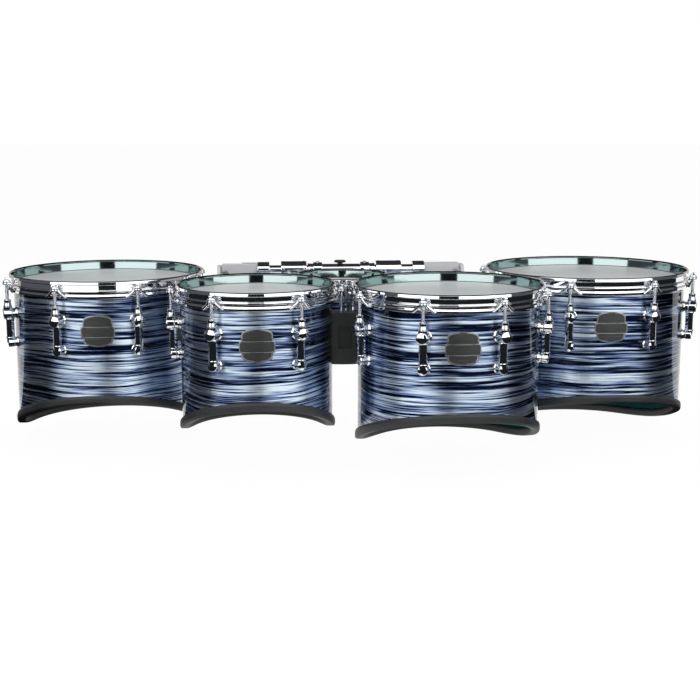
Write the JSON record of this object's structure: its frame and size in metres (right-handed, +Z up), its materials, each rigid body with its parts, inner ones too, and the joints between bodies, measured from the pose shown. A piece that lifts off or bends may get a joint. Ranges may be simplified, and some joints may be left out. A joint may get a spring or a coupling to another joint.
{
  "type": "marching tenor drums",
  "caption": "Set of marching tenor drums with slant cut shells joined in a row, with a small shot drum and a tilting carrier bar behind them.",
  "frame": {"origin": "under the middle of the whole set, on the surface that it stands on", "axes": "+X along the row of drums to the viewer's right in the picture, +Y towards the player, +Z up towards the playing heads"},
  "size_m": [1.2474, 0.5698, 0.3176],
  "materials": {
    "shell": "blue grey pearl wrap with horizontal ripples over a maple shell",
    "chrome": "mirror bright plating",
    "rubber": "satin charcoal extrusion",
    "film": "smooth pale grey film",
    "black": "moulded satin black",
    "badge": "dark satin plate, blank",
    "aluminium": "brushed and clear coated",
    "steel": "zinc plated",
    "knob": "moulded black"
  },
  "bodies": {
    "drum_set": {"tenor_13_shell": "shell", "tenor_13_edge_guard": "rubber", "tenor_13_head": "film", "tenor_13_badge": "badge", "tenor_10_shell": "shell", "tenor_10_edge_guard": "rubber", "tenor_10_head": "film", "tenor_10_badge": "badge", "tenor_12_shell": "shell", "tenor_12_edge_guard": "rubber", "tenor_12_head": "film", "tenor_12_badge": "badge", "tenor_14_shell": "shell", "tenor_14_edge_guard": "rubber", "tenor_14_head": "film", "tenor_14_badge": "badge", "shot_6_shell": "shell", "shot_6_edge_guard": "rubber", "shot_6_head": "film", "centre_block": "black", "left_bridge_block": "black", "right_bridge_block": "black", "shot_bridge_left": "black", "shot_bridge_right": "black", "cross_rod": "chrome", "left_bracket": "aluminium", "left_outer_arm": "aluminium", "left_knuckle": "chrome", "left_knuckle_bolt_1": "steel", "left_knuckle_bolt_2": "steel", "left_arm_bolt": "steel", "right_bracket": "aluminium", "right_outer_arm": "aluminium", "right_knuckle": "chrome", "right_knuckle_bolt_1": "steel", "right_knuckle_bolt_2": "steel", "right_arm_bolt": "steel"},
    "hoop_13": {"tenor_13_hoop": "chrome"},
    "hoop_10": {"tenor_10_hoop": "chrome"},
    "hoop_12": {"tenor_12_hoop": "chrome"},
    "hoop_14": {"tenor_14_hoop": "chrome"},
    "hoop_6": {"shot_6_hoop": "chrome"},
    "tilt_bar": {"centre_sleeve": "chrome", "left_receiver": "chrome", "left_collar": "chrome", "left_collar_screw": "steel", "right_receiver": "chrome", "right_collar": "chrome", "right_collar_screw": "steel"},
    "lock_knob": {"tilt_lock_knob": "knob"},
    "screw_left": {"left_socket_screw": "chrome"},
    "screw_right": {"right_socket_screw": "chrome"}
  },
  "joints": [
    {"name": "hoop_13_lift", "type": "slide", "parent": "drum_set", "child": "hoop_13", "axis": [0, 0, 1], "range_m": [0, 0.008]},
    {"name": "hoop_10_lift", "type": "slide", "parent": "drum_set", "child": "hoop_10", "axis": [0, 0, 1], "range_m": [0, 0.008]},
    {"name": "hoop_12_lift", "type": "slide", "parent": "drum_set", "child": "hoop_12", "axis": [0, 0, 1], "range_m": [0, 0.008]},
    {"name": "hoop_14_lift", "type": "slide", "parent": "drum_set", "child": "hoop_14", "axis": [0, 0, 1], "range_m": [0, 0.008]},
    {"name": "hoop_6_lift", "type": "slide", "parent": "drum_set", "child": "hoop_6", "axis": [0, 0, 1], "range_m": [0, 0.008]},
    {"name": "carrier_tilt", "type": "hinge", "parent": "drum_set", "child": "tilt_bar", "pos_m": [-0.01536, 0.18228, 0.3004], "axis": [1, 0, 0], "range_deg": [-20, 35]},
    {"name": "lock_knob_turn", "type": "hinge", "parent": "tilt_bar", "child": "lock_knob", "pos_m": [-0.01736, 0.18228, 0.3136], "axis": [0, 0, 1], "continuous": true},
    {"name": "left_screw_turn", "type": "hinge", "parent": "tilt_bar", "child": "screw_left", "pos_m": [-0.10506, 0.23078, 0.262], "axis": [0, 1, 0], "continuous": true},
    {"name": "right_screw_turn", "type": "hinge", "parent": "tilt_bar", "child": "screw_right", "pos_m": [0.07434, 0.23078, 0.262], "axis": [0, 1, 0], "continuous": true}
  ]
}
